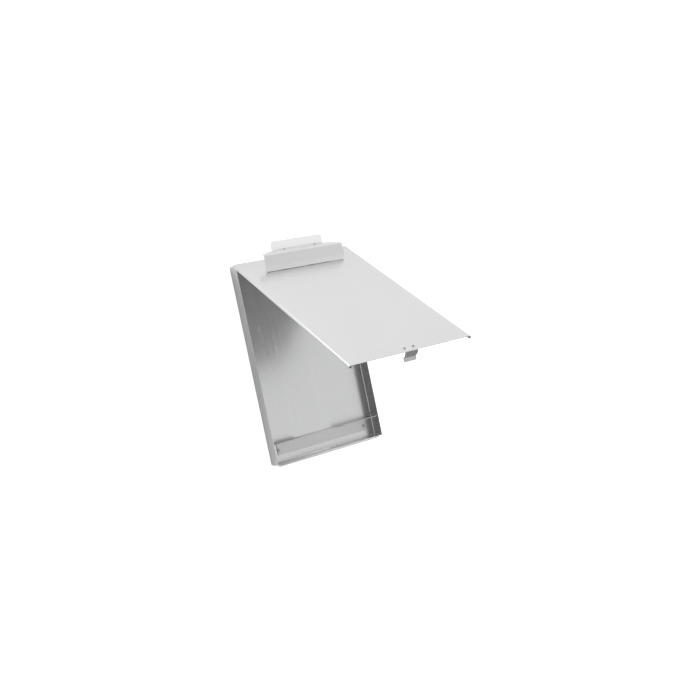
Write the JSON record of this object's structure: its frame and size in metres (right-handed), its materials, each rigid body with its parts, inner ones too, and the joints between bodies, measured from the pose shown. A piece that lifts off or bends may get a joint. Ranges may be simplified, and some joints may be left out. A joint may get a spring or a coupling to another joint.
{
  "type": "storage clipboard",
  "caption": "Sheet-metal storage clipboard: shallow tray with a shelf, hinged lid with a sprung paper clip and a spring latch, lid part open.",
  "frame": {"origin": "middle of the tray back's flat outer face, which the tray rests on", "axes": "+X across the tray, +Y from the latch end to the hinge end, +Z out of the open tray"},
  "size_m": [0.2398, 0.3906, 0.3308],
  "materials": {
    "sheet_aluminium": "fine brushed, satin",
    "rivet_aluminium": "plain",
    "hinge_steel": "plated",
    "clip_steel": "satin plated",
    "spring_steel": "plain spring temper"
  },
  "bodies": {
    "tray": {"tray_shell": "sheet_aluminium", "ledge_bracket": "sheet_aluminium", "ledge_rivet_left": "rivet_aluminium", "ledge_rivet_right": "rivet_aluminium", "tray_hinge_leaf": "hinge_steel", "hinge_pin": "hinge_steel"},
    "lid": {"lid_panel": "sheet_aluminium", "lid_hinge_leaf": "hinge_steel", "latch_foot": "spring_steel", "latch_rivet_left": "rivet_aluminium", "latch_rivet_right": "rivet_aluminium", "clip_base": "clip_steel", "clip_rivet_1": "rivet_aluminium", "clip_rivet_2": "rivet_aluminium", "clip_rivet_3": "rivet_aluminium", "clip_rivet_4": "rivet_aluminium", "clip_pivot_rod": "clip_steel"},
    "clip_jaw": {"jaw_plate": "clip_steel", "thumb_lever": "clip_steel", "lever_rivet_left": "rivet_aluminium", "lever_rivet_right": "rivet_aluminium", "clip_spring_left": "spring_steel", "clip_spring_right": "spring_steel"},
    "latch": {"latch_hook": "spring_steel"}
  },
  "joints": [
    {"name": "lid_hinge", "type": "hinge", "parent": "tray", "child": "lid", "pos_m": [0, 0.1791, 0.0244], "axis": [-1, 0, 0], "range_deg": [-57, 73]},
    {"name": "jaw_pivot", "type": "hinge", "parent": "lid", "child": "clip_jaw", "pos_m": [0.0029, 0.17869, 0.05037], "axis": [-1, 0, 0], "range_deg": [0, 24], "stiffness_Nm_per_rad": 1.2, "springref_deg": -20.05},
    {"name": "latch_flex", "type": "hinge", "parent": "lid", "child": "latch", "pos_m": [-0.0009, -0.01727, 0.32863], "axis": [-1, 0, 0], "range_deg": [0, 14], "stiffness_Nm_per_rad": 0.3, "springref_deg": -2.86}
  ]
}
